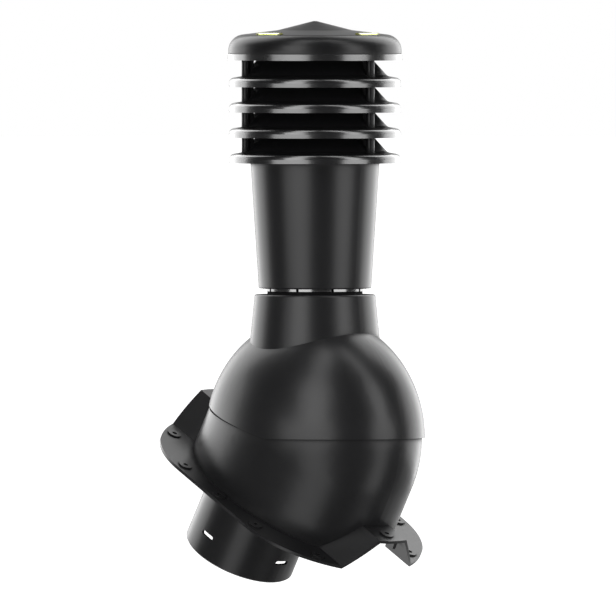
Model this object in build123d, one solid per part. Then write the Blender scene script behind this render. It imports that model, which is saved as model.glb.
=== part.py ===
"""Roof ventilation pipe with a tilting ball foot, a louvred head and a two-way level in its cap.

Frame: the origin lies on the roof, where the axis of the foot meets the seat plane. +X points
down the slope, +Y across it and +Z straight up, along the pipe. Millimetres.
"""
import os
from math import asin, cos, degrees, hypot, radians, sin, sqrt, tan

from build123d import *

# Setting of the tilting foot, in degrees
roof_pitch = 30.0
least_pitch = 5.0
steepest_pitch = 32.0
head_turn = 4.0

# Ball joint: circles in the tilt plane, ellipses across it
pivot_height = 76.0
dome_radius = 135.0
dome_half_width = 105.0
dome_wall = 2.8
ball_gap = 0.5
ball_wall = 3.0
rim_kink = 25.0
rim_rise = 16.0
rim_gap = 1.0
relief_step = 0.6

# Roof flange with its trapezoidal rib
flange_length = 325.0
flange_width = 247.0
flange_end_radius = 140.0
flange_corner_radius = 90.0
flange_wall = 3.3
rib_height = 37.0
rib_foot_width = 108.0
rib_top_width = 41.0

# Screw places of the flange, measured in from its edges
screw_hole_radius = 2.75
screw_boss_radius = 7.5
screw_boss_height = 1.8
middle_screw_inset = 10.5
side_screw_inset = 12.5
side_screw_spacing = 126.0
corner_screw_inset = 52.0
corner_screw_end_inset = 33.5
rib_screw_end_inset = 14.0
peg_radius = 1.7
peg_clearance = 22.0

# Duct spigot and the plate that closes the foot
spigot_radius = 62.5
spigot_wall = 3.0
spigot_offset = 37.0
spigot_drop = 97.0
plate_thickness = 4.0
plate_fit = 0.3
plate_bead = 0.8
plate_bead_height = 1.6
strap_slot_length = 18.0
strap_slot_height = 4.7
strap_slot_inset = 26.0
strap_slot_count = 4
spigot_lead_in = 1.5

# Collar, throat and neck of the dome, heights above the pivot
collar_top = 157.0
collar_top_radius = 66.5
collar_taper = 5.8
collar_wall = 3.0
collar_edge_radius = 2.5
bore_radius = 49.0
throat_wall = 3.0
neck_wall = 3.4
neck_length = 43.0
bead_height = 3.5
bead_reach = 1.6
bead_lift = 5.6

# Retaining ring that clips on the throat from inside the foot
ring_radius = 72.0
ring_wall = 3.0
ring_gap = 0.4
hub_wall = 6.0
hub_drop = 2.0
clip_height = 3.2
clip_reach = 1.2
clip_slot_count = 6
clip_slot_width = 5.0
clip_slot_height = 12.0
clip_fit = 0.2

# Tapered pipe with its snap fingers
pipe_gap = 6.6
pipe_length = 152.4
pipe_bottom_radius = 62.0
pipe_top_radius = 71.0
pipe_wall = 3.0
pipe_plug = 14.6
pipe_edge_radius = 1.4
finger_wall = 2.3
finger_fit = 0.3
finger_drop = 3.0
finger_hook = 1.5
finger_hook_height = 1.6
finger_slot_count = 9
finger_slot_width = 3.0
finger_slot_turn = -25.0
web_thickness = 3.0

# Louvre rings
louvre_reach = 23.6
louvre_count = 4
louvre_pitch = 27.9
louvre_wall = 2.5
lip_height = 9.6
lip_edge_radius = 6.0
brim_reach = 9.0
brim_rise = 2.2
cone_angle = 48.0
cone_overlap = 2.4
cone_foot_radius = 7.0
post_count = 3
post_radius = 4.5
post_reach = 9.5
socket_wall = 2.0
socket_fit = 0.1
socket_depth = 5.5
socket_roof = 1.5
fin_reach = 0.4
fin_thickness = 3.0
fin_fit = 0.3
skirt_fit = 0.2
skirt_wall = 2.5
skirt_lift = 0.5

# Cap
cap_pitch = 29.4
cap_overhang = 0.8
cap_band_height = 6.8
cap_band_reach = 0.8
cap_wall = 3.0
cap_tip_radius = 2.0
cap_cone_radius = 41.0
cap_height = 43.0
cap_cone_rise = 10.0
cap_flare_rise = 6.6
cap_shoulder_radius = 18.0
cap_tip_round = 2.0

# Level vials in the cap
vial_radius = 4.0
vial_bore_radius = 3.0
vial_length = 30.0
vial_plug_length = 2.0
vial_plug_step = 1.5
vial_inset = 19.4
vial_sink = 2.2
vial_fit = 0.2
vial_fluid_gap = 0.05
bubble_length = 9.0
bubble_radius = 1.5
cradle_wall = 1.8
vial_angles = {"slope": -90.0, "cross": 0.0}

# Sizes that follow from the ones above
reach = 4 * dome_radius
ball_radius = dome_radius - dome_wall - ball_gap
ball_half_width = dome_half_width - dome_wall - ball_gap
corner_screw_spacing = flange_length - 2 * corner_screw_end_inset
rib_screw_spacing = flange_length - 2 * rib_screw_end_inset
throat_radius = bore_radius + throat_wall
neck_radius = bore_radius + neck_wall
neck_top = collar_top + neck_length
finger_bore = neck_radius + bead_reach + finger_fit
finger_radius = finger_bore + finger_wall
pipe_bottom = collar_top + pipe_gap
pipe_top = pipe_bottom + pipe_length
louvre_bottom = pipe_top - pipe_plug
louvre_radius = pipe_top_radius + louvre_reach
brim_radius = pipe_top_radius + brim_reach
post_circle = pipe_top_radius + post_reach
cap_radius = louvre_radius + cap_overhang
vial_circle = cap_radius - vial_inset
post_height = louvre_pitch - socket_roof
cap_bottom = louvre_bottom + (louvre_count - 1) * louvre_pitch + cap_pitch
plate_level = rib_height
pivot = Vector(pivot_height * sin(radians(roof_pitch)), 0, pivot_height * cos(radians(roof_pitch)))


def offset_path(points, gap):
    """Move an open path to its right-hand side by gap, with mitred corners."""
    normals = []
    for (x0, y0), (x1, y1) in zip(points, points[1:]):
        run = hypot(x1 - x0, y1 - y0)
        normals.append(((y1 - y0) / run, (x0 - x1) / run))
    moved = []
    for index, (x, y) in enumerate(points):
        before = normals[max(index - 1, 0)]
        after = normals[min(index, len(normals) - 1)]
        share = gap / (1 + before[0] * after[0] + before[1] * after[1])
        moved.append((x + (before[0] + after[0]) * share, y + (before[1] + after[1]) * share))
    return moved


def polygon(points):
    """Closed flat face through the points."""
    return make_face(Polyline(*points, close=True))


def rounded(face, places, radius):
    """Round the corners of a flat face that lie nearest the places."""
    corners = [face.vertices().sort_by_distance((x, y, 0))[0] for x, y in places]
    return fillet(corners, radius)


def turned(face):
    """Solid of revolution about Z, from a face drawn as radius and height."""
    return revolve(Plane.XZ * face, Axis.Z)


def tube(outer, inner, bottom, top):
    """Round tube about Z between two heights."""
    ring = Circle(outer) - Circle(inner)
    return Pos(0, 0, bottom) * extrude(ring, top - bottom)


def rod(radius, bottom, top):
    """Round bar about Z between two heights."""
    return Pos(0, 0, bottom) * extrude(Circle(radius), top - bottom)


def around(count, start=0.0):
    """Turns about Z that spread count copies evenly."""
    return [Rot(0, 0, start + 360.0 * index / count) for index in range(count)]


def ball_form(radius, half_width):
    """Ellipsoid that is round in the tilt plane and narrower across it, with its poles on Z."""
    return scale(Sphere(radius), by=(1, half_width / radius, 1))


def above_rim(drop=0.0):
    """Everything above the dome's lower rim, or a drop below it: level downhill, rising uphill."""
    far_rise = (rim_kink + reach) * tan(radians(rim_rise))
    outline = polygon([
        (rim_kink, -drop), (reach, -drop), (reach, reach), (-reach, reach), (-reach, far_rise - drop),
    ])
    return extrude(Plane.XZ * outline, reach, both=True)


def rib_path(level):
    """Upper line of the flange across the slope, at a level above the seat plane."""
    half_foot = rib_foot_width / 2
    half_top = rib_top_width / 2
    half_width = flange_width / 2
    return [
        (-half_width, level), (-half_foot, level), (-half_top, level + rib_height),
        (half_top, level + rib_height), (half_foot, level), (half_width, level),
    ]


def rim_relief(inset):
    """Space under the ball's widest line that the dome's uphill rim sweeps at the steepest pitch."""
    swept = Rot(0, -steepest_pitch, 0) * above_rim(rim_gap + inset)
    below = Pos(0, 0, -reach / 2) * Box(2 * reach, 2 * reach, reach)
    depth = inset + relief_step
    core = ball_form(ball_radius - depth, ball_half_width - depth)
    return Pos(0, 0, pivot_height) * ((swept & below) - core)


def neck_form(inset):
    """Foot under the dome: a ball that runs smoothly into an upright oval shaft, less the rim's relief."""
    radius = ball_radius - inset
    half_width = ball_half_width - inset
    wall = Polyline((0, pivot_height + radius), (0, -inset), (radius, -inset), (radius, pivot_height))
    crown = CenterArc((0, pivot_height), radius, 0, 90)
    form = scale(turned(make_face(wall + crown)), by=(1, half_width / radius, 1))
    return form - rim_relief(inset)


def flange_outline():
    """Flange seen along the roof normal: bowed ends, straight sides, wide round corners."""
    centre = flange_length / 2 - flange_end_radius
    ends = Rectangle(2 * centre, 2 * flange_end_radius)
    for side in (-1, 1):
        ends += Pos(side * centre, 0) * Circle(flange_end_radius)
    sheet = ends & Rectangle(flange_length, flange_width)
    return fillet(sheet.vertices(), flange_corner_radius)


def screw_places():
    """Screw points of the flange as (along, across, level of the plate's upper face)."""
    half_width = flange_width / 2
    places = []
    for side in (-1, 1):
        places.append((0, side * (half_width - middle_screw_inset), flange_wall))
        places.append((side * rib_screw_spacing / 2, 0, rib_height + flange_wall))
        for end in (-1, 1):
            across = side * (half_width - side_screw_inset)
            places.append((end * side_screw_spacing / 2, across, flange_wall))
            across = side * (half_width - corner_screw_inset)
            places.append((end * corner_screw_spacing / 2, across, flange_wall))
    return places


def ball_window():
    """Opening in the ball that lets the throat pass at every pitch."""
    room = throat_radius + clip_reach + ball_gap
    inner_radius = ball_radius - ball_wall
    inner_half_width = ball_half_width - ball_wall
    swing = degrees(asin(room / inner_radius))
    inner = inner_radius * sqrt(1 - (room / inner_half_width) ** 2) - ball_wall
    outer = ball_radius + ball_wall
    gate = Plane.YZ * Pos(0, (inner + outer) / 2) * Rectangle(2 * room, outer - inner)
    gate = Rot(0, -steepest_pitch - swing, 0) * gate
    sector = revolve(gate, Axis.Y, steepest_pitch - least_pitch + 2 * swing)
    return Pos(0, 0, pivot_height) * sector


def roof_base():
    """Flange, oval neck and ball in one moulding, drawn flat on the roof."""
    upper = rib_path(flange_wall)
    lower = offset_path(upper, flange_wall)
    section = polygon(upper + lower[::-1])
    flange = extrude(Plane.YZ * section, flange_length, both=True)
    flange &= extrude(flange_outline(), rib_height + 2 * flange_wall)
    roof_side = polygon(lower + [(flange_width, reach), (-flange_width, reach)])
    neck = neck_form(0) & extrude(Plane.YZ * roof_side, reach, both=True)
    body = flange + neck
    for along, across, level in screw_places():
        top = level + screw_boss_height
        body += Pos(along, across, 0) * rod(screw_boss_radius, level - flange_wall, top)
    peg_across = rib_top_width / 2
    for along in (-rib_screw_spacing / 2, rib_screw_spacing / 2):
        for side in (-1, 1):
            body += Pos(along, side * peg_across, 0) * rod(peg_radius, peg_clearance, rib_height)
    body -= neck_form(ball_wall)
    body -= ball_window()
    plate_middle = plate_level + plate_thickness / 2
    body -= plate_disc(plate_bead + plate_fit, plate_middle, plate_bead_height + plate_fit)
    for along, across, level in screw_places():
        body -= Pos(along, across, 0) * rod(screw_hole_radius, -flange_wall, level + 2 * screw_boss_height)
    return body


def plate_disc(grow, middle, height):
    """Oval disc that fills the neck at a level, grown past the neck's inner wall."""
    inset = ball_wall - grow
    outline = Ellipse(ball_radius - inset, ball_half_width - inset)
    return Pos(0, 0, middle - height / 2) * extrude(outline, height)


def duct_spigot():
    """Duct connection: a closing plate that snaps in the neck, with the spigot uphill of its centre."""
    middle = plate_level + plate_thickness / 2
    plate = plate_disc(-plate_fit, middle, plate_thickness)
    plate += plate_disc(plate_bead - plate_fit, middle, plate_bead_height)
    bottom = -spigot_drop
    top = plate_level + plate_thickness
    wall = polygon([
        (spigot_radius - spigot_wall, bottom), (spigot_radius - spigot_lead_in, bottom),
        (spigot_radius, bottom + spigot_lead_in), (spigot_radius, top), (spigot_radius - spigot_wall, top),
    ])
    pipe = turned(wall)
    slot = Plane.YZ * Pos(0, bottom + strap_slot_inset) * SlotOverall(strap_slot_length, strap_slot_height)
    cut = extrude(slot, 2 * spigot_radius)
    for turn in around(strap_slot_count):
        pipe -= turn * cut
    shift = Pos(-spigot_offset, 0, 0)
    plate -= shift * rod(spigot_radius - spigot_wall, bottom, top)
    return plate + shift * pipe


def collar_radius(height):
    """Outer radius of the tapered collar at a height above the pivot."""
    return collar_top_radius + (collar_top - height) * tan(radians(collar_taper))


def hub_level():
    """Flat lower face of the retaining ring's hub, above the pivot."""
    drop = ball_wall + ring_gap + ring_wall
    radius = ball_radius - drop
    half_width = ball_half_width - drop
    across = throat_radius + clip_fit + hub_wall
    return radius * sqrt(1 - (across / half_width) ** 2) - hub_drop


def collar_form(inset):
    """Tapered collar as a filled form, inset from its outer face and its top."""
    foot = dome_radius / 2
    top = collar_top - inset
    corner = (collar_radius(top) - inset, top)
    face = polygon([(0, foot), (collar_radius(foot) - inset, foot), corner, (0, top)])
    return turned(rounded(face, [corner], collar_edge_radius))


def tilting_dome():
    """Dome over the ball with its collar, the throat below and the neck that carries the pipe."""
    cavity = ball_form(dome_radius - dome_wall, dome_half_width - dome_wall)
    shell = (ball_form(dome_radius, dome_half_width) - cavity) & above_rim()
    hollow = collar_form(collar_wall)
    body = shell - hollow + (collar_form(0) - hollow - cavity)
    bead = collar_top + bead_lift
    clip_level = hub_level() - clip_height
    body += rod(throat_radius, clip_level, collar_top)
    body += rod(throat_radius + clip_reach, clip_level, hub_level())
    body += rod(neck_radius, collar_top - collar_wall, neck_top)
    body += rod(neck_radius + bead_reach, bead, bead + bead_height)
    body -= rod(bore_radius, 0, reach)
    gap = extrude(Rectangle(2 * (throat_radius + 2 * clip_reach), clip_slot_width), clip_slot_height)
    for turn in around(clip_slot_count)[:clip_slot_count // 2]:
        body -= turn * Pos(0, 0, clip_level) * gap
    return body


def retaining_ring():
    """Ring inside the ball that keeps the dome on the foot and slides with it."""
    top_inset = ball_wall + ring_gap
    low_inset = top_inset + ring_wall
    crown = ball_form(ball_radius - top_inset, ball_half_width - top_inset)
    hollow = ball_form(ball_radius - low_inset, ball_half_width - low_inset)
    hole = throat_radius + clip_fit
    shell = (crown - hollow) & rod(ring_radius, 0, reach)
    hub = tube(hole + hub_wall, hole, hub_level(), reach) & crown
    return shell + hub - rod(hole, 0, reach)


def vent_pipe():
    """Tapered pipe with an inner web and slotted fingers that snap over the neck's bead."""
    straight = louvre_bottom
    skin = [
        (pipe_bottom_radius, pipe_bottom), (pipe_top_radius, straight), (pipe_top_radius, pipe_top),
    ]
    face = polygon(skin + offset_path(skin, -pipe_wall)[::-1])
    foot = offset_path(skin, -pipe_wall)[0]
    body = turned(rounded(face, [skin[0], foot], pipe_edge_radius))
    lip = pipe_bottom - finger_drop
    fingers = tube(finger_radius, finger_bore, lip, neck_top + web_thickness)
    fingers += tube(finger_radius, finger_bore - finger_hook, lip, lip + finger_hook_height)
    slot = extrude(Rectangle(4 * finger_wall, finger_slot_width), neck_top - web_thickness - lip)
    for turn in around(finger_slot_count, finger_slot_turn):
        fingers -= turn * Pos(finger_radius, 0, lip) * slot
    share = (neck_top - pipe_bottom) / (straight - pipe_bottom)
    inner = pipe_bottom_radius + share * (pipe_top_radius - pipe_bottom_radius) - pipe_wall / 2
    web = tube(inner, bore_radius, neck_top, neck_top + web_thickness)
    return body + fingers + web


def louvre_ring(skirted=False):
    """Louvre from its lip's lower edge up: lip, brim, steep cone, finned posts above, sockets below."""
    brim = lip_height + brim_rise
    cone_top = louvre_pitch + cone_overlap
    cone_radius = brim_radius - (cone_top - brim) / tan(radians(cone_angle))
    skin = [(louvre_radius, 0), (louvre_radius, lip_height), (brim_radius, brim), (cone_radius, cone_top)]
    inside = offset_path(skin, -louvre_wall)
    face = polygon(skin + inside[::-1])
    face = rounded(face, [skin[2]], cone_foot_radius)
    face = rounded(face, [inside[1]], lip_edge_radius - louvre_wall)
    face = rounded(face, [skin[1]], lip_edge_radius)
    body = turned(face)
    seat = lip_height - socket_roof
    under = turned(polygon(skin + [(0, cone_top), (0, 0)]))
    fin_inner = pipe_top_radius + fin_reach
    fin_top = louvre_pitch + seat - socket_depth - fin_fit
    fin = Pos((fin_inner + post_circle) / 2, 0, (seat + fin_top) / 2) * Box(
        post_circle - fin_inner, fin_thickness, fin_top - seat)
    fin -= turned(polygon(inside + [(0, cone_top), (0, 0)]))
    boss = rod(post_radius + socket_fit + socket_wall, seat - socket_depth, brim + louvre_wall)
    bar = rod(post_radius, seat, seat + louvre_pitch)
    for turn in around(post_count, head_turn):
        place = turn * Pos(post_circle, 0, 0)
        body += place * boss & under
        body += place * bar
        body += turn * fin
        body -= place * rod(post_radius + socket_fit, seat - socket_depth, seat)
    if skirted:
        hole = pipe_top_radius + skirt_fit
        sleeve = tube(hole + skirt_wall, hole, skirt_lift, brim + cone_top)
        sleeve += tube(hole + skirt_wall, pipe_top_radius - pipe_wall, pipe_plug, brim + cone_top)
        body += sleeve & under
    return body


def vial_place(angle):
    """Place of a level vial: its axis along local X, tangent to the cap at an angle."""
    share = (vial_circle - cap_cone_radius) / (cap_radius - cap_cone_radius)
    level = cap_bottom + cap_height - cap_cone_rise - share * cap_flare_rise - vial_sink
    return Rot(0, 0, head_turn + angle) * Pos(vial_circle, 0, level) * Rot(0, 0, 90)


def cap():
    """Hood over the louvres: pointed crown, flared shoulder, glossy band, post sockets and vial cradles."""
    shoulder = cap_bottom + cap_height - cap_cone_rise
    skin = [
        (0, cap_bottom + cap_height), (cap_tip_radius, cap_bottom + cap_height),
        (cap_cone_radius, shoulder), (cap_radius, shoulder - cap_flare_rise), (cap_radius, cap_bottom),
    ]
    inside = offset_path(skin, cap_wall)
    whole = rounded(polygon(skin + [(0, cap_bottom)]), [skin[3]], cap_shoulder_radius)
    whole = turned(rounded(whole, [skin[1]], cap_tip_round))
    hollow = polygon(inside + [(0, cap_bottom)])
    hollow = turned(rounded(hollow, [inside[3]], cap_shoulder_radius - cap_wall))
    body = whole - hollow
    band_top = cap_bottom + cap_band_height
    body += tube(cap_radius + cap_band_reach, cap_radius - cap_wall / 2, cap_bottom, band_top)
    seat = cap_bottom - cap_pitch + lip_height + post_height
    boss = rod(post_radius + socket_fit + socket_wall, seat - socket_depth, shoulder)
    for turn in around(post_count, head_turn):
        place = turn * Pos(post_circle, 0, 0)
        body += place * boss & whole
        body -= place * rod(post_radius + socket_fit, seat - socket_depth, seat)
    length = vial_length + 2 * vial_plug_length + 2 * vial_fit
    width = 2 * (vial_radius + vial_fit)
    for angle in vial_angles.values():
        place = vial_place(angle)
        block = Box(length + 2 * cradle_wall, width + 2 * cradle_wall, 4 * vial_radius)
        body += place * Pos(0, 0, vial_radius - cradle_wall) * block & whole
        body -= place * Pos(0, 0, vial_radius) * Box(length, width, 4 * vial_radius)
    return body


def vial_rod(radius, length):
    """Bar along X, centred on the origin."""
    return Rot(0, 90, 0) * rod(radius, -length / 2, length / 2)


def vial_tube():
    """Clear tube of a level vial."""
    return vial_rod(vial_radius, vial_length) - vial_rod(vial_bore_radius, 2 * vial_length)


def vial_fluid():
    """Fluid between the plugs, with the air bubble left out at the top."""
    radius = vial_bore_radius - vial_fluid_gap
    length = vial_length - 2 * vial_plug_step - 2 * vial_fluid_gap
    bubble = vial_rod(bubble_radius, bubble_length - 2 * bubble_radius)
    for side in (-1, 1):
        bubble += Pos(side * (bubble_length / 2 - bubble_radius), 0, 0) * Sphere(bubble_radius)
    return vial_rod(radius, length) - Pos(0, 0, radius - bubble_radius) * bubble


def vial_plugs():
    """The two end plugs of a level vial, each stepped into its tube."""
    head = vial_rod(vial_radius, vial_plug_length)
    step = vial_rod(vial_bore_radius - vial_fluid_gap, vial_plug_step)
    plug = head + Pos(-(vial_plug_length + vial_plug_step) / 2, 0, 0) * step
    middle = (vial_length + vial_plug_length) / 2
    return [Pos(middle, 0, 0) * plug, Rot(0, 0, 180) * Pos(middle, 0, 0) * plug]


def build():
    """All pieces at their places, by node name."""
    on_roof = Rot(0, roof_pitch, 0)
    on_pivot = Pos(pivot)
    parts = {
        "roof_base": on_roof * roof_base(),
        "duct_spigot": on_roof * duct_spigot(),
        "tilting_dome": on_pivot * tilting_dome(),
        "retaining_ring": on_pivot * retaining_ring(),
        "vent_pipe": on_pivot * vent_pipe(),
        "cap": on_pivot * cap(),
    }
    for index in range(louvre_count):
        level = Pos(0, 0, louvre_bottom + index * louvre_pitch)
        parts[f"louvre_ring_{index + 1}"] = on_pivot * level * louvre_ring(skirted=index == 0)
    plugs = []
    for name, angle in vial_angles.items():
        place = on_pivot * vial_place(angle)
        parts[f"{name}_vial"] = place * vial_tube()
        parts[f"{name}_fluid"] = place * vial_fluid()
        plugs += [place * plug for plug in vial_plugs()]
    parts["vial_plugs"] = Compound(children=plugs)
    return parts


os.makedirs("parts", exist_ok=True)
for node, shape in build().items():
    export_step(shape, f"parts/{node}.step")
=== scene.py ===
"""Looks of a roof ventilation pipe: moulded black plastic, a two-way level in the cap, white studio."""
from math import cos, radians, sin, tan

import bpy
import numpy as np
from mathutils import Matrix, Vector


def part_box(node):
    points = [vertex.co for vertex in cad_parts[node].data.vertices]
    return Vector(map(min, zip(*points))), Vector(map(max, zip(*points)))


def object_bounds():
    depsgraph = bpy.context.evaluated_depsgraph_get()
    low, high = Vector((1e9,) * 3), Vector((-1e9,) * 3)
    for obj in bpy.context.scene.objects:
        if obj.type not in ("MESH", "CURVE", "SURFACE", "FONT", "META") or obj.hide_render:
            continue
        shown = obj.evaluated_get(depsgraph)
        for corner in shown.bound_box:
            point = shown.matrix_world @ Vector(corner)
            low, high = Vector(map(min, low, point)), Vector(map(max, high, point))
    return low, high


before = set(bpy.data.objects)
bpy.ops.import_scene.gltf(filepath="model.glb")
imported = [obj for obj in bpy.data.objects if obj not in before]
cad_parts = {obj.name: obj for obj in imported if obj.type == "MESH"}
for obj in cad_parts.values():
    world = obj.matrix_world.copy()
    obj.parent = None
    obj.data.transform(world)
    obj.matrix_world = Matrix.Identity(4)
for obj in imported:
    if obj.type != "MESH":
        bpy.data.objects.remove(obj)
cad_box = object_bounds()

bl_info = {
    "name": "Roof ventilation pipe",
    "version": (1, 0, 0),
    "blender": (4, 5, 0),
    "location": "View3D > Sidebar > Vent pipe",
    "description": "Finishes and stages a tilting roof vent with a louvred head",
    "category": "Object",
}

MM = 0.001
PLASTIC_IOR = 1.5
TUBE_IOR = 1.49
TUBE_ROUGHNESS = 0.04
FLUID_IOR = 1.34
FLUID_ROUGHNESS = 0.12
PLUG_ROUGHNESS = 0.4
SATIN_GRAIN_DEPTH = 0.004 * MM
GLOSS_GRAIN_DEPTH = 0.002 * MM
# Reach of the ambient occlusion whose mask paints shade into narrow gaps, and the roughness there
GAP_WIDTH = 9 * MM
GAP_ROUGHNESS = 0.9
FINGER_BLEND = 0.2 * MM
LIP_BLEND = 2 * MM
BAND_BLEND = 0.3 * MM
FLOOR_HALF = 40.0
SURROUND_FRONT = 0.07
SURROUND_BEHIND = 0.8
SURROUND_FILL = 0.3
FOOT_NODES = ("roof_base", "duct_spigot")
DOME_NODES = ("tilting_dome", "retaining_ring")
LOUVRE_NODES = tuple(sorted(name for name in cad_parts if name.startswith("louvre_ring")))
TUBE_NODES = ("slope_vial", "cross_vial")
FLUID_NODES = ("slope_fluid", "cross_fluid")
PIPE_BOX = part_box("vent_pipe")
LOUVRE_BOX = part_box(LOUVRE_NODES[0])
CAP_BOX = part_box("cap")
# Lowest and highest angle of each row of lamps, in degrees
LOW_ROW = (-50, -8)
LEVEL_ROW = (-8, 9)
MIDDLE_ROW = (9, 42)
HIGH_ROW = (42, 82)
RIM_ROW = (-15, 25)
HIGH_RIM_ROW = (25, 65)
RIM_SPREAD = 56


class VentPlastic(bpy.types.PropertyGroup):
    """Colours and finishes of the moulded black pieces, and the painted shade in their gaps and recesses.
    """

    satin_colour: bpy.props.FloatVectorProperty(
        name="Satin colour", description="Colour of the foot, dome and pipe", subtype="COLOR",
        size=4, min=0.0, max=1.0, default=(0.0045, 0.0045, 0.0048, 1.0))
    satin_roughness: bpy.props.FloatProperty(
        name="Satin roughness", description="Roughness of the foot, dome and pipe",
        subtype="FACTOR", min=0.0, max=1.0, default=0.31)
    satin_specular: bpy.props.FloatProperty(
        name="Satin reflection", description="Strength of the pipe's satin reflection",
        subtype="FACTOR", min=0.0, max=1.0, default=0.22)
    # Gap reflection is what painted shade leaves of the foot's and dome's reflection in narrow gaps;
    # satin coat is the part that painted shade takes out there
    gap_specular: bpy.props.FloatProperty(
        name="Gap reflection", description="Strength of the reflection left in the gaps of foot and dome",
        subtype="FACTOR", min=0.0, max=1.0, default=0.08)
    satin_coat: bpy.props.FloatProperty(
        name="Satin coat", description="Strength of the reflection that the foot's and dome's gaps shade",
        subtype="FACTOR", min=0.0, max=1.0, default=0.29)
    gloss_colour: bpy.props.FloatVectorProperty(
        name="Gloss colour", description="Colour of the louvre rings and the cap", subtype="COLOR",
        size=4, min=0.0, max=1.0, default=(0.003, 0.003, 0.0032, 1.0))
    gloss_roughness: bpy.props.FloatProperty(
        name="Gloss roughness", description="Roughness of the gloss on lips and band",
        subtype="FACTOR", min=0.0, max=1.0, default=0.2)
    # Reflection inside a louvre's lip, kept weak as painted shade in the recess
    louvre_painted_shade_specular: bpy.props.FloatProperty(
        name="Louvre reflection", description="Strength of the reflection of a louvre inside its lip",
        subtype="FACTOR", min=0.0, max=1.0, default=0.12)
    # Reflection of the cap above its band, kept weak as painted shade on the crown
    cap_painted_shade_specular: bpy.props.FloatProperty(
        name="Cap reflection", description="Strength of the reflection of the cap above its band",
        subtype="FACTOR", min=0.0, max=1.0, default=0.185)
    gloss_ior: bpy.props.FloatProperty(
        name="Gloss index", description="Refractive index of the gloss on lips and band",
        min=1.0, max=3.0, default=1.6)
    lip_width: bpy.props.FloatProperty(
        name="Lip width", description="Width of the glossy lip around a louvre", unit="LENGTH",
        min=0.0, default=0.0051)
    band_height: bpy.props.FloatProperty(
        name="Band height", description="Height of the glossy band around the cap's foot", unit="LENGTH",
        min=0.0, default=0.0068)
    finger_ior: bpy.props.FloatProperty(
        name="Finger index", description="Refractive index of the gloss on the pipe's fingers",
        min=1.0, max=3.0, default=2.0)
    finger_roughness: bpy.props.FloatProperty(
        name="Finger roughness", description="Roughness of the gloss on the pipe's fingers",
        subtype="FACTOR", min=0.0, max=1.0, default=0.16)
    finger_length: bpy.props.FloatProperty(
        name="Finger length", description="Length of the glossy fingers that show below the pipe",
        unit="LENGTH", min=0.0, default=0.0028)
    grain_size: bpy.props.FloatProperty(
        name="Grain size", description="Size of the moulded grain", unit="LENGTH",
        min=0.0001, default=0.0009)


class VentLevel(bpy.types.PropertyGroup):
    """Colours of the level vials in the cap."""

    fluid_colour: bpy.props.FloatVectorProperty(
        name="Fluid colour", description="Colour of the level fluid", subtype="COLOR",
        size=4, min=0.0, max=1.0, default=(0.60, 0.63, 0.12, 1.0))
    tube_colour: bpy.props.FloatVectorProperty(
        name="Tube colour", description="Tint of the clear vial", subtype="COLOR",
        size=4, min=0.0, max=1.0, default=(0.86, 0.90, 0.50, 1.0))
    plug_colour: bpy.props.FloatVectorProperty(
        name="Plug colour", description="Colour of the vial's end plugs", subtype="COLOR",
        size=4, min=0.0, max=1.0, default=(0.10, 0.10, 0.012, 1.0))


class VentStudio(bpy.types.PropertyGroup):
    """Camera, lamps and backdrop."""

    azimuth: bpy.props.FloatProperty(
        name="Azimuth", description="Camera's turn about the pipe", subtype="ANGLE",
        default=radians(45.0))
    elevation: bpy.props.FloatProperty(
        name="Elevation", description="Camera's height angle", subtype="ANGLE", default=radians(1.1))
    distance: bpy.props.FloatProperty(
        name="Distance", description="Camera's distance from the pipe", unit="LENGTH", default=25.0)
    picture_width: bpy.props.FloatProperty(
        name="Picture width", description="Width of the picture at the pipe", unit="LENGTH",
        default=0.6776)
    target: bpy.props.FloatVectorProperty(
        name="Target", description="Point in the middle of the picture", subtype="TRANSLATION",
        unit="LENGTH", size=3, default=(0.0326, -0.0054, 0.2077))
    floor_gap: bpy.props.FloatProperty(
        name="Floor gap", description="Clear height below the spigot", unit="LENGTH", default=0.16)
    lamp_distance: bpy.props.FloatProperty(
        name="Lamp distance", description="Distance of the softboxes", unit="LENGTH", default=2.4)
    lamp_power: bpy.props.FloatProperty(
        name="Softbox power", description="Power of each square metre of softbox", unit="POWER",
        default=16.0)


def node_of(tree, kind, **values):
    """New shader node with its plain socket values set by name."""
    node = tree.nodes.new(kind)
    for name, value in values.items():
        node.inputs[name.replace("_", " ")].default_value = value
    return node


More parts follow.
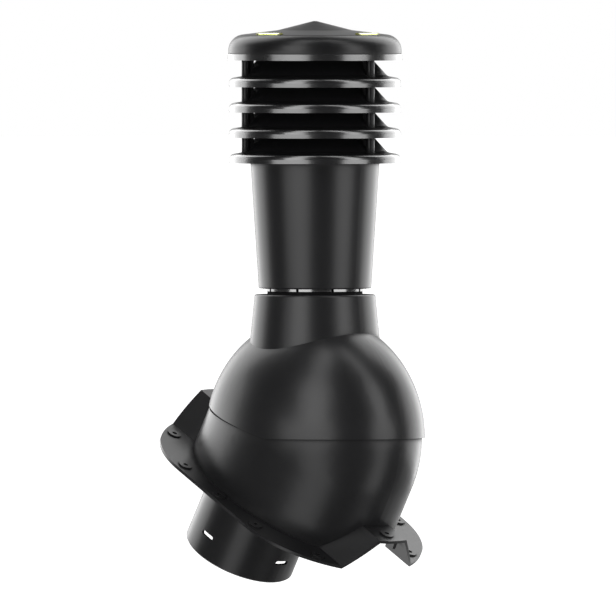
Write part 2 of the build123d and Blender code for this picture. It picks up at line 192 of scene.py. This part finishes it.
def moulded_grain():
    """Group: fine moulded grain, a slow drift of gloss and colour, and a mask for painted shade in narrow
    gaps.

    Height is fractal noise at the grain size. Drift is noise some forty grains wide, and it scales
    the roughness and the colour about their given values. Openness falls from one to zero where
    neighbouring surfaces within the gap width close in, and the roughness rises there. The materials
    use Openness to paint shade into the gaps: it takes their coat's reflection out.
    """
    group = bpy.data.node_groups.new("moulded_grain", "ShaderNodeTree")
    sockets = group.interface
    sockets.new_socket("Grain Scale", in_out="INPUT", socket_type="NodeSocketFloat")
    sockets.new_socket("Base Roughness", in_out="INPUT", socket_type="NodeSocketFloat")
    sockets.new_socket("Base Colour", in_out="INPUT", socket_type="NodeSocketColor")
    sockets.new_socket("Height", in_out="OUTPUT", socket_type="NodeSocketFloat")
    sockets.new_socket("Roughness", in_out="OUTPUT", socket_type="NodeSocketFloat")
    sockets.new_socket("Colour", in_out="OUTPUT", socket_type="NodeSocketColor")
    sockets.new_socket("Openness", in_out="OUTPUT", socket_type="NodeSocketFloat")
    given = group.nodes.new("NodeGroupInput")
    result = group.nodes.new("NodeGroupOutput")
    place = group.nodes.new("ShaderNodeTexCoord")
    fine = node_of(group, "ShaderNodeTexNoise", Detail=3.0, Roughness=0.6)
    slow = node_of(group, "ShaderNodeTexNoise", Scale=28.0, Detail=4.0, Roughness=0.55)
    join = group.links.new
    join(place.outputs["Object"], fine.inputs["Vector"])
    join(place.outputs["Object"], slow.inputs["Vector"])
    join(given.outputs["Grain Scale"], fine.inputs["Scale"])
    join(fine.outputs["Fac"], result.inputs["Height"])
    gloss = node_of(group, "ShaderNodeMapRange", To_Min=0.97, To_Max=1.03, From_Min=0.3, From_Max=0.7)
    join(slow.outputs["Fac"], gloss.inputs["Value"])
    rough = group.nodes.new("ShaderNodeMath")
    rough.operation = "MULTIPLY"
    join(given.outputs["Base Roughness"], rough.inputs[0])
    join(gloss.outputs["Result"], rough.inputs[1])
    shade = node_of(group, "ShaderNodeMapRange", To_Min=0.96, To_Max=1.04, From_Min=0.25, From_Max=0.75)
    join(slow.outputs["Fac"], shade.inputs["Value"])
    tint = group.nodes.new("ShaderNodeVectorMath")
    tint.operation = "SCALE"
    join(given.outputs["Base Colour"], tint.inputs[0])
    join(shade.outputs["Result"], tint.inputs["Scale"])
    join(tint.outputs["Vector"], result.inputs["Colour"])
    # Painted shade: ambient occlusion gives Openness, which the materials use to take the reflection out
    # of narrow gaps
    gap = node_of(group, "ShaderNodeAmbientOcclusion", Distance=GAP_WIDTH)
    openness = node_of(group, "ShaderNodeMapRange", From_Min=0.4, From_Max=0.97, To_Min=0.0, To_Max=1.0)
    join(gap.outputs["AO"], openness.inputs["Value"])
    join(openness.outputs["Result"], result.inputs["Openness"])
    dulled = group.nodes.new("ShaderNodeMix")
    dulled.inputs[2].default_value = GAP_ROUGHNESS
    join(openness.outputs["Result"], dulled.inputs[0])
    join(rough.outputs["Value"], dulled.inputs[3])
    join(dulled.outputs[0], result.inputs["Roughness"])
    return group


def plastic(name, colour, roughness, grain_size, grain_depth, ior=PLASTIC_IOR, specular=0.5):
    """Moulded plastic: grain as bump, and roughness and colour that drift."""
    group = bpy.data.node_groups.get("moulded_grain") or moulded_grain()
    material = bpy.data.materials.new(name)
    material.use_nodes = True
    tree = material.node_tree
    shader = tree.nodes["Principled BSDF"]
    shader.inputs["IOR"].default_value = ior
    shader.inputs["Specular IOR Level"].default_value = specular
    grain = tree.nodes.new("ShaderNodeGroup")
    grain.name = "grain"
    grain.node_tree = group
    grain.inputs["Grain Scale"].default_value = 1.0 / grain_size
    grain.inputs["Base Roughness"].default_value = roughness
    grain.inputs["Base Colour"].default_value = colour
    bump = node_of(tree, "ShaderNodeBump", Strength=1.0, Distance=grain_depth)
    tree.links.new(grain.outputs["Height"], bump.inputs["Height"])
    tree.links.new(bump.outputs["Normal"], shader.inputs["Normal"])
    tree.links.new(grain.outputs["Roughness"], shader.inputs["Roughness"])
    tree.links.new(grain.outputs["Colour"], shader.inputs["Base Color"])
    return material


def coat(material, roughness, ior, cover):
    """Second reflection over a plastic, as strong as a mask from nothing to one."""
    tree = material.node_tree
    shader = tree.nodes["Principled BSDF"]
    shader.inputs["Coat Roughness"].default_value = roughness
    shader.inputs["Coat IOR"].default_value = ior
    tree.links.new(cover, shader.inputs["Coat Weight"])


def open_in(material):
    """Mask that is one on open faces and falls to zero in narrow gaps, where the coats use it to paint
    shade.
    """
    return material.node_tree.nodes["grain"].outputs["Openness"]


def range_in(material, measure, none, full, most=1.0):
    """Mask that rises from zero to its most as a measured value runs from none to full."""
    tree = material.node_tree
    share = node_of(tree, "ShaderNodeMapRange", From_Min=none, From_Max=full, To_Min=0.0, To_Max=most)
    tree.links.new(measure, share.inputs["Value"])
    return share.outputs["Result"]


def both_in(material, first, second):
    """Mask where two masks overlap."""
    tree = material.node_tree
    overlap = tree.nodes.new("ShaderNodeMath")
    overlap.operation = "MULTIPLY"
    tree.links.new(first, overlap.inputs[0])
    tree.links.new(second, overlap.inputs[1])
    return overlap.outputs["Value"]


def height_in(material):
    """Socket with the height on a piece."""
    tree = material.node_tree
    place = tree.nodes.new("ShaderNodeTexCoord")
    split = tree.nodes.new("ShaderNodeSeparateXYZ")
    tree.links.new(place.outputs["Object"], split.inputs["Vector"])
    return split.outputs["Z"]


def radius_in(material, axis):
    """Socket with the distance from the pipe's upright axis, which stands at an X."""
    tree = material.node_tree
    place = tree.nodes.new("ShaderNodeTexCoord")
    flat = tree.nodes.new("ShaderNodeVectorMath")
    flat.operation = "MULTIPLY_ADD"
    flat.inputs[1].default_value = (1.0, 1.0, 0.0)
    flat.inputs[2].default_value = (-axis, 0.0, 0.0)
    run = tree.nodes.new("ShaderNodeVectorMath")
    run.operation = "LENGTH"
    tree.links.new(place.outputs["Object"], flat.inputs[0])
    tree.links.new(flat.outputs["Vector"], run.inputs[0])
    return run.outputs["Value"]


def dress(names, material):
    """Put one material in the slots of some CAD nodes."""
    for name in names:
        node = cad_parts[name]
        for slot in node.material_slots:
            slot.material = material


class VENT_OT_foot(bpy.types.Operator):
    """Finish the roof base and the duct spigot in satin black, with painted shade in narrow gaps"""

    bl_idname = "vent.foot"
    bl_label = "Foot"

    def execute(self, context):
        finish = context.scene.vent_plastic
        satin = plastic("satin_moulding", finish.satin_colour, finish.satin_roughness,
                        finish.grain_size, SATIN_GRAIN_DEPTH, specular=finish.gap_specular)
        # Painted shade: the coat's reflection fades out in narrow gaps, leaving only the weak gap
        # reflection of the base
        faces = range_in(satin, open_in(satin), 0.0, 1.0, finish.satin_coat)
        coat(satin, finish.satin_roughness, PLASTIC_IOR, faces)
        dress(FOOT_NODES, satin)
        return {"FINISHED"}


class VENT_OT_dome(bpy.types.Operator):
    """Finish the tilting dome and its retaining ring in the foot's satin black, with its painted shade in
    narrow gaps
    """

    bl_idname = "vent.dome"
    bl_label = "Dome"

    def execute(self, context):
        dress(DOME_NODES, bpy.data.materials["satin_moulding"])
        return {"FINISHED"}


class VENT_OT_pipe(bpy.types.Operator):
    """Finish the tapered pipe in satin black with glossy fingers at its foot"""

    bl_idname = "vent.pipe"
    bl_label = "Pipe"

    def execute(self, context):
        finish = context.scene.vent_plastic
        fingered = plastic("fingered_moulding", finish.satin_colour, finish.satin_roughness,
                           finish.grain_size, SATIN_GRAIN_DEPTH, specular=finish.satin_specular)
        finger_top = PIPE_BOX[0][2] + finish.finger_length
        fingers = range_in(fingered, height_in(fingered), finger_top, finger_top - FINGER_BLEND)
        coat(fingered, finish.finger_roughness, finish.finger_ior, fingers)
        dress(("vent_pipe",), fingered)
        return {"FINISHED"}


class VENT_OT_head(bpy.types.Operator):
    """Finish the louvre rings and the cap in satin black with glossy lips and a glossy band; the satin
    parts inside the lips and above the band get a weak reflection as painted shade
    """

    bl_idname = "vent.head"
    bl_label = "Louvres and cap"

    def execute(self, context):
        finish = context.scene.vent_plastic
        # Painted shade: inside the lip the louvre keeps only a weak reflection for the shade in its
        # recess; the lip's gloss is also painted out of narrow gaps
        lipped = plastic("lipped_moulding", finish.gloss_colour, finish.satin_roughness,
                         finish.grain_size, GLOSS_GRAIN_DEPTH, specular=finish.louvre_painted_shade_specular)
        axis = (LOUVRE_BOX[0][0] + LOUVRE_BOX[1][0]) / 2
        lip_start = LOUVRE_BOX[1][0] - axis - finish.lip_width
        lip = range_in(lipped, radius_in(lipped, axis), lip_start - LIP_BLEND, lip_start)
        coat(lipped, finish.gloss_roughness, finish.gloss_ior, both_in(lipped, lip, open_in(lipped)))
        dress(LOUVRE_NODES, lipped)
        # Partly real gloss on the band, and painted shade on the crown: above the band the cap keeps only
        # a weak reflection, and the band's gloss is painted out of narrow gaps
        banded = plastic("banded_moulding", finish.gloss_colour, finish.satin_roughness,
                         finish.grain_size, GLOSS_GRAIN_DEPTH, specular=finish.cap_painted_shade_specular)
        band_top = CAP_BOX[0][2] + finish.band_height
        band = range_in(banded, height_in(banded), band_top + BAND_BLEND, band_top)
        coat(banded, finish.gloss_roughness, finish.gloss_ior, both_in(banded, band, open_in(banded)))
        dress(("cap",), banded)
        return {"FINISHED"}


class VENT_OT_level(bpy.types.Operator):
    """Finish the two level vials: clear tubes, yellow-green fluid and plugs"""

    bl_idname = "vent.level"
    bl_label = "Level vials"

    def execute(self, context):
        colours = context.scene.vent_level
        tube = bpy.data.materials.new("clear_tube")
        tube.use_nodes = True
        shader = tube.node_tree.nodes["Principled BSDF"]
        shader.inputs["Base Color"].default_value = colours.tube_colour
        shader.inputs["Roughness"].default_value = TUBE_ROUGHNESS
        shader.inputs["Transmission Weight"].default_value = 1.0
        shader.inputs["IOR"].default_value = TUBE_IOR
        dress(TUBE_NODES, tube)
        fluid = plastic("tinted_fluid", colours.fluid_colour, FLUID_ROUGHNESS, grain_size=4 * MM,
                        grain_depth=0.0, ior=FLUID_IOR)
        dress(FLUID_NODES, fluid)
        plug = plastic("tinted_plug", colours.plug_colour, PLUG_ROUGHNESS, grain_size=MM,
                       grain_depth=0.01 * MM)
        dress(("vial_plugs",), plug)
        return {"FINISHED"}


def direction(turn, lift):
    """Unit vector towards an azimuth and a height angle."""
    return Vector((sin(turn) * cos(lift), -cos(turn) * cos(lift), sin(lift)))


def softbox(name, azimuth, spread, row, power):
    """Flat lamp that faces the pipe: azimuth from the camera, spread about it and row, in degrees."""
    studio = bpy.context.scene.vent_studio
    low, high = row
    reach = studio.lamp_distance
    lift = radians(low + high) / 2
    away = direction(studio.azimuth + radians(azimuth), lift)
    width = 2 * reach * cos(lift) * tan(radians(spread) / 2)
    height = 2 * reach * tan(radians(high - low) / 2)
    lamp = bpy.data.lights.new(name, "AREA")
    lamp.shape = "RECTANGLE"
    lamp.size = width
    lamp.size_y = height
    lamp.energy = studio.lamp_power * power * width * height
    lamp_object = bpy.data.objects.new(name, lamp)
    bpy.context.scene.collection.objects.link(lamp_object)
    lamp_object.location = Vector(studio.target) + away * reach
    lamp_object.rotation_euler = away.to_track_quat("Z", "Y").to_euler()
    lamp_object.visible_camera = False


def light_pipe():
    """Front softboxes, wide at the pipe's height and narrower above and below, and rims from behind."""
    for side, azimuth, spread in (("left", -32.5, 50), ("right", 55.5, 36)):
        softbox(f"softbox_{side}", azimuth, spread, LEVEL_ROW, 0.98)
    for side, azimuth, spread in (("left", -28, 30), ("right", 54.5, 22)):
        softbox(f"softbox_{side}_low", azimuth, spread, LOW_ROW, 0.6)
        softbox(f"softbox_{side}_mid", azimuth, spread, MIDDLE_ROW, 1.2)
        softbox(f"softbox_{side}_high", azimuth, spread, HIGH_ROW, 1.1)
    for side, azimuth, high_azimuth in (("left", -132, -138.6), ("right", 132, 138.6)):
        softbox(f"rim_{side}", azimuth, RIM_SPREAD, RIM_ROW, 0.65)
        softbox(f"rim_{side}_high", high_azimuth, RIM_SPREAD, HIGH_RIM_ROW, 0.75)


def white_surround(scene):
    """World: white to the camera and through glass.

    Reflections see it dim in front, and white behind up to a low height.
    """
    studio = scene.vent_studio
    world = bpy.data.worlds.new("white_surround")
    world.use_nodes = True
    scene.world = world
    tree = world.node_tree
    back = tree.nodes["Background"]
    back.inputs["Color"].default_value = (1.0, 1.0, 1.0, 1.0)
    path = tree.nodes.new("ShaderNodeLightPath")
    place = tree.nodes.new("ShaderNodeTexCoord")
    facing = tree.nodes.new("ShaderNodeVectorMath")
    facing.operation = "DOT_PRODUCT"
    facing.inputs[1].default_value = (sin(studio.azimuth), -cos(studio.azimuth), 0.0)
    behind = node_of(tree, "ShaderNodeMapRange", From_Min=-0.05, From_Max=-0.4,
                     To_Min=SURROUND_FRONT, To_Max=SURROUND_BEHIND)
    split = tree.nodes.new("ShaderNodeSeparateXYZ")
    fade = node_of(tree, "ShaderNodeMapRange", From_Min=0.12, From_Max=0.45, To_Min=1.0, To_Max=0.35)
    mirrored = tree.nodes.new("ShaderNodeMath")
    mirrored.operation = "MULTIPLY"
    seen = tree.nodes.new("ShaderNodeMath")
    seen.operation = "MAXIMUM"
    light = tree.nodes.new("ShaderNodeMix")
    light.inputs[2].default_value = SURROUND_FILL
    join = tree.links.new
    join(place.outputs["Generated"], facing.inputs[0])
    join(facing.outputs["Value"], behind.inputs["Value"])
    join(path.outputs["Is Camera Ray"], seen.inputs[0])
    join(path.outputs["Is Transmission Ray"], seen.inputs[1])
    join(path.outputs["Is Glossy Ray"], light.inputs[0])
    join(place.outputs["Generated"], split.inputs["Vector"])
    join(split.outputs["Z"], fade.inputs["Value"])
    join(behind.outputs["Result"], mirrored.inputs[0])
    join(fade.outputs["Result"], mirrored.inputs[1])
    join(mirrored.outputs["Value"], light.inputs[3])
    shown = tree.nodes.new("ShaderNodeMix")
    shown.inputs[3].default_value = 1.0
    join(seen.outputs["Value"], shown.inputs[0])
    join(light.outputs[0], shown.inputs[2])
    join(shown.outputs[0], back.inputs["Strength"])


def pale_floor(scene):
    """Wide flat floor below the pipe, white to the camera: a square of corners at one level."""
    level = cad_box[0][2] - scene.vent_studio.floor_gap
    corners = np.full((4, 3), level)
    corners[:, :2] = FLOOR_HALF * np.array([(-1, -1), (1, -1), (1, 1), (-1, 1)])
    mesh = bpy.data.meshes.new("floor")
    mesh.from_pydata(corners.tolist(), [], [(0, 1, 2, 3)])
    floor = bpy.data.objects.new("floor", mesh)
    scene.collection.objects.link(floor)
    material = bpy.data.materials.new("pale_floor")
    material.use_nodes = True
    tree = material.node_tree
    shader = tree.nodes["Principled BSDF"]
    shader.inputs["Base Color"].default_value = (0.9, 0.9, 0.9, 1.0)
    shader.inputs["Roughness"].default_value = 0.9
    shader.inputs["Emission Color"].default_value = (1.0, 1.0, 1.0, 1.0)
    path = tree.nodes.new("ShaderNodeLightPath")
    tree.links.new(path.outputs["Is Camera Ray"], shader.inputs["Emission Strength"])
    mesh.materials.append(material)
    floor.visible_glossy = False
    floor.visible_shadow = False


class VENT_OT_stage(bpy.types.Operator):
    """Set up the camera, the softboxes, the white surround and the floor"""

    bl_idname = "vent.stage"
    bl_label = "Studio"

    def execute(self, context):
        scene = context.scene
        studio = scene.vent_studio
        scene.view_settings.view_transform = "Standard"
        away = direction(studio.azimuth, studio.elevation)
        lens = bpy.data.cameras.new("camera")
        lens.sensor_width = 36.0
        lens.lens = lens.sensor_width * studio.distance / studio.picture_width
        lens.clip_end = 100.0
        lens.dof.use_dof = False
        camera = bpy.data.objects.new("camera", lens)
        camera.location = Vector(studio.target) + away * studio.distance
        camera.rotation_euler = away.to_track_quat("Z", "Y").to_euler()
        scene.collection.objects.link(camera)
        scene.camera = camera
        light_pipe()
        white_surround(scene)
        pale_floor(scene)
        return {"FINISHED"}


class VENT_PT_panel(bpy.types.Panel):
    """Sidebar list of the vent's steps"""

    bl_idname = "VENT_PT_panel"
    bl_label = "Vent pipe"
    bl_space_type = "VIEW_3D"
    bl_region_type = "UI"
    bl_category = "Vent pipe"

    def draw(self, context):
        for step in STEPS:
            self.layout.operator(step.bl_idname)


STEPS = (VENT_OT_foot, VENT_OT_dome, VENT_OT_pipe, VENT_OT_head, VENT_OT_level, VENT_OT_stage)
GROUPS = {"vent_plastic": VentPlastic, "vent_level": VentLevel, "vent_studio": VentStudio}


def register():
    """Register the classes and hang the settings on the scene."""
    for group in GROUPS.values():
        bpy.utils.register_class(group)
    for name, group in GROUPS.items():
        setattr(bpy.types.Scene, name, bpy.props.PointerProperty(type=group))
    for step in STEPS:
        bpy.utils.register_class(step)
    bpy.utils.register_class(VENT_PT_panel)


def unregister():
    """Take the settings and the classes away again."""
    bpy.utils.unregister_class(VENT_PT_panel)
    for step in reversed(STEPS):
        bpy.utils.unregister_class(step)
    for name, group in GROUPS.items():
        delattr(bpy.types.Scene, name)
        bpy.utils.unregister_class(group)


def main():
    """Dress and stage the pipe."""
    register()
    bpy.ops.vent.foot()
    bpy.ops.vent.dome()
    bpy.ops.vent.pipe()
    bpy.ops.vent.head()
    bpy.ops.vent.level()
    bpy.ops.vent.stage()


if __name__ == "__main__":
    main()
